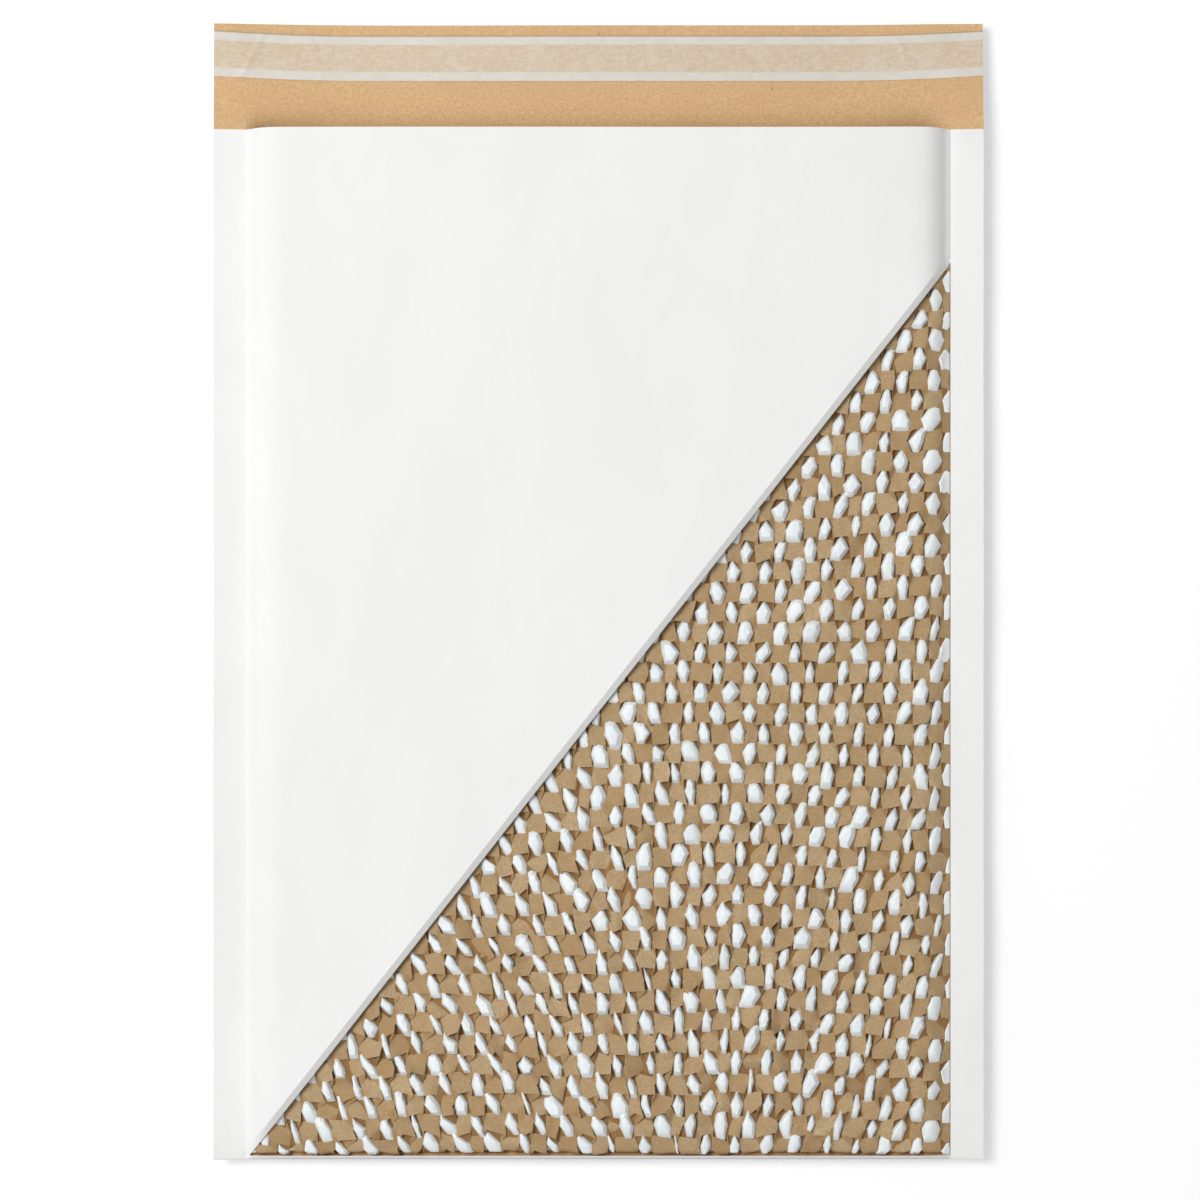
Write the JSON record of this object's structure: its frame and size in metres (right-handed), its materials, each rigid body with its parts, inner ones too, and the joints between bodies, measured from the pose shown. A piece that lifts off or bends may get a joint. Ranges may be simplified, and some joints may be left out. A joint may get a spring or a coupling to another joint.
{
  "type": "padded envelope",
  "caption": "Flat padded paper envelope with honeycomb paper padding, an open flap with a peel-off adhesive strip, and a diagonal cutaway in the front that shows the padding.",
  "frame": {"origin": "under the middle of the outline, on the plane of the back panel's resting face", "axes": "+Z out of the front panel, +Y from the bottom fold to the mouth and the flap, +X to the right seen from the front"},
  "size_m": [0.26, 0.384, 0.0141],
  "materials": {
    "outer_paper": "matte, white outside and brown inside",
    "honeycomb_paper": "matte brown",
    "liner_paper": "matte white",
    "seam_glue": "dried glue",
    "flap_adhesive": "tacky film",
    "release_paper": "smooth, slightly translucent"
  },
  "bodies": {
    "root": {"outer_sheet": "outer_paper", "honeycomb_padding": "honeycomb_paper", "inner_liner": "liner_paper", "left_seam_glue": "seam_glue", "right_seam_glue": "seam_glue", "flap_adhesive": "flap_adhesive", "release_liner": "release_paper"}
  },
  "joints": []
}
